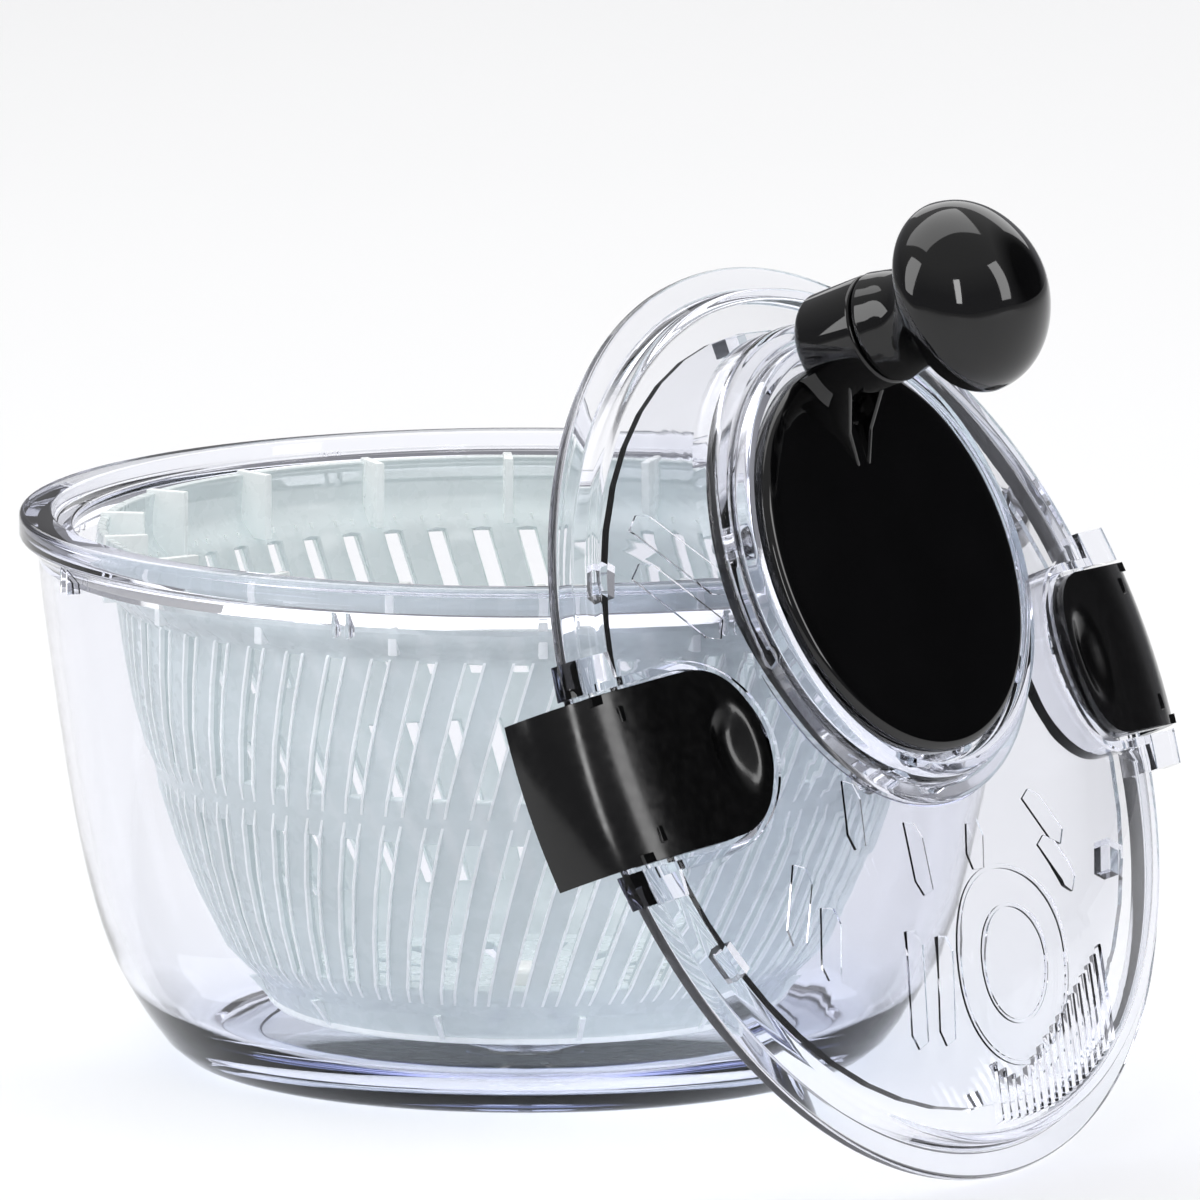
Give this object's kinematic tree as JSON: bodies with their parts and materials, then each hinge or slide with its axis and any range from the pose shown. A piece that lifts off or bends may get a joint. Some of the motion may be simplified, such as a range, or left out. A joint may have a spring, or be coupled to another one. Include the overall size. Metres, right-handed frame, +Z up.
{
  "type": "salad spinner",
  "caption": "Crank-geared salad spinner: clear bowl, slotted basket on a centre pivot, and a clear lid with off-centre crank, knob and rim latches, leaning on the bowl.",
  "frame": {"origin": "on the bowl's axis, at the bowl's flat underside on the table", "axes": "+Z up the bowl's axis; the viewer stands on the -Y side, and the lid leans on the bowl towards +X and -Y"},
  "size_m": [0.2688, 0.3477, 0.2208],
  "materials": {
    "clear_plastic": "clear polished plastic, slightly blue at the edges",
    "milky_plastic": "translucent milky white plastic",
    "gloss_black": "high gloss black",
    "satin_black": "satin black",
    "white_acetal": "natural white acetal",
    "soft_ring": "soft translucent anti-slip ring",
    "steel": "bright stainless steel"
  },
  "bodies": {
    "bowl": {"bowl": "clear_plastic", "foot_ring": "soft_ring", "pivot_pin": "steel"},
    "basket": {"basket": "milky_plastic", "pivot_cup": "white_acetal"},
    "lid": {"lid_shell": "clear_plastic", "gear_cover": "clear_plastic", "cover_screw_1": "steel", "cover_screw_2": "steel", "cover_screw_3": "steel", "cover_screw_4": "steel", "crank_bush": "white_acetal", "drive_axle": "steel", "drive_clip": "steel", "latch_pin_right": "steel", "latch_pin_left": "steel"},
    "crank": {"crank_disc": "gloss_black", "crank_gear": "white_acetal", "gear_clip": "steel", "knob_pin": "steel", "knob_washer": "steel"},
    "knob": {"knob_shell": "gloss_black", "knob_core": "satin_black"},
    "drive": {"pinion": "white_acetal", "drive_plate": "clear_plastic"},
    "latch_right": {"latch_right": "satin_black"},
    "latch_left": {"latch_left": "satin_black"}
  },
  "joints": [
    {"name": "basket_spin", "type": "hinge", "parent": "bowl", "child": "basket", "pos_m": [0, 0, 0.017], "axis": [0, 0, 1], "continuous": true},
    {"name": "lid_lift_off", "type": "slide", "parent": "bowl", "child": "lid", "axis": [0.7663, -0.5149, 0.3843], "range_m": [0, 0.2]},
    {"name": "crank_spin", "type": "hinge", "parent": "lid", "child": "crank", "pos_m": [0.0796, -0.12939, 0.13684], "axis": [0.7663, -0.5149, 0.3843], "continuous": true},
    {"name": "drive_spin", "type": "hinge", "parent": "lid", "child": "drive", "pos_m": [0.08074, -0.13015, 0.10232], "axis": [0.7663, -0.5149, 0.3843], "continuous": true},
    {"name": "knob_spin", "type": "hinge", "parent": "crank", "child": "knob", "pos_m": [0.08708, -0.13442, 0.19324], "axis": [0.7663, -0.5149, 0.3843], "continuous": true},
    {"name": "latch_right_tilt", "type": "hinge", "parent": "lid", "child": "latch_right", "pos_m": [0.136, -0.0456, 0.10178], "axis": [0.319, -0.2143, -0.9232], "range_deg": [0, 9], "stiffness_Nm_per_rad": 0.3, "springref_deg": -5.73},
    {"name": "latch_left_tilt", "type": "hinge", "parent": "lid", "child": "latch_left", "pos_m": [0.02333, -0.21327, 0.10178], "axis": [-0.319, 0.2143, 0.9232], "range_deg": [0, 9], "stiffness_Nm_per_rad": 0.3, "springref_deg": -5.73}
  ],
  "couplings": [
    {"joint": "drive_spin", "follows": "crank_spin", "ratio": -3.5}
  ]
}
